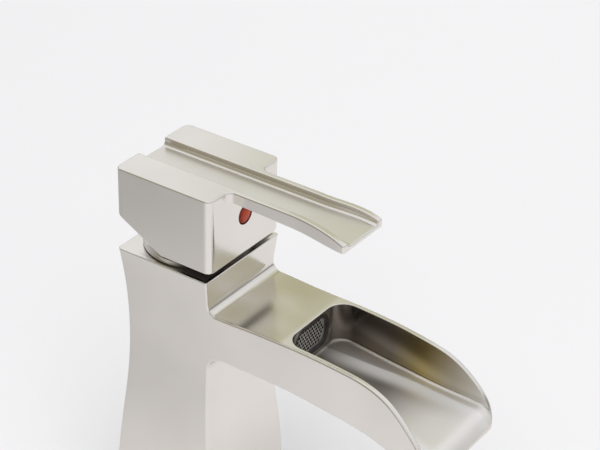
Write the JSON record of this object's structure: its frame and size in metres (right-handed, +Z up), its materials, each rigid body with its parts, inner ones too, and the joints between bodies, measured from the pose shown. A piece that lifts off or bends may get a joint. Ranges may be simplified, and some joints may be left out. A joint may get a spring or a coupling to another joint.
{
  "type": "basin faucet",
  "caption": "Single-lever basin faucet with a waisted square column, an open waterfall spout and a block handle with a channelled lever.",
  "frame": {"origin": "centre of the foot, on the deck plane under the foot gasket", "axes": "+Z up along the column, -Y along the spout towards the lip, X across the spout"},
  "size_m": [0.054, 0.1532, 0.1934],
  "materials": {
    "satin_nickel": "satin nickel plate on cast brass",
    "black_rubber": "matte",
    "zinc_steel": "zinc plated",
    "dark_trim": "moulded",
    "screen_steel": "perforated sheet",
    "cartridge_plastic": "moulded",
    "limit_plastic": "moulded",
    "ceramic": "ground alumina",
    "raw_brass": "machined",
    "red_plastic": "moulded"
  },
  "bodies": {
    "faucet": {"faucet_body": "satin_nickel", "spout": "satin_nickel", "column_foot": "satin_nickel", "inlet_block": "raw_brass", "base_gasket": "black_rubber", "mounting_studs": "zinc_steel", "clamp_gasket": "black_rubber", "clamp_plate": "zinc_steel", "mounting_nuts": "zinc_steel", "screen_frame": "dark_trim", "outlet_screen": "screen_steel", "screen_seal": "black_rubber", "cartridge_base": "cartridge_plastic", "port_seals": "black_rubber", "fixed_disc": "ceramic", "cartridge_housing": "cartridge_plastic", "limit_ring": "limit_plastic", "cartridge_nut": "raw_brass", "bonnet": "satin_nickel"},
    "turning_stem": {"rotor": "cartridge_plastic", "spindle_pin": "zinc_steel"},
    "lever_handle": {"handle": "satin_nickel", "spindle": "raw_brass", "handle_set_screw": "zinc_steel", "indicator_plug": "red_plastic"},
    "disc_slide": {"moving_disc": "ceramic", "disc_carrier": "cartridge_plastic"}
  },
  "joints": [
    {"name": "temperature_turn", "type": "hinge", "parent": "faucet", "child": "turning_stem", "pos_m": [0, 0, 0.119], "axis": [0, 0, 1], "range_deg": [-45, 45]},
    {"name": "lever_lift", "type": "hinge", "parent": "turning_stem", "child": "lever_handle", "pos_m": [0, 0, 0.119], "axis": [-1, 0, 0], "range_deg": [0, 25]},
    {"name": "disc_shift", "type": "slide", "parent": "turning_stem", "child": "disc_slide", "axis": [0, -1, 0], "range_m": [0, 0.00611]}
  ],
  "couplings": [
    {"joint": "disc_shift", "follows": "lever_lift", "m_per_rad": 0.014}
  ]
}
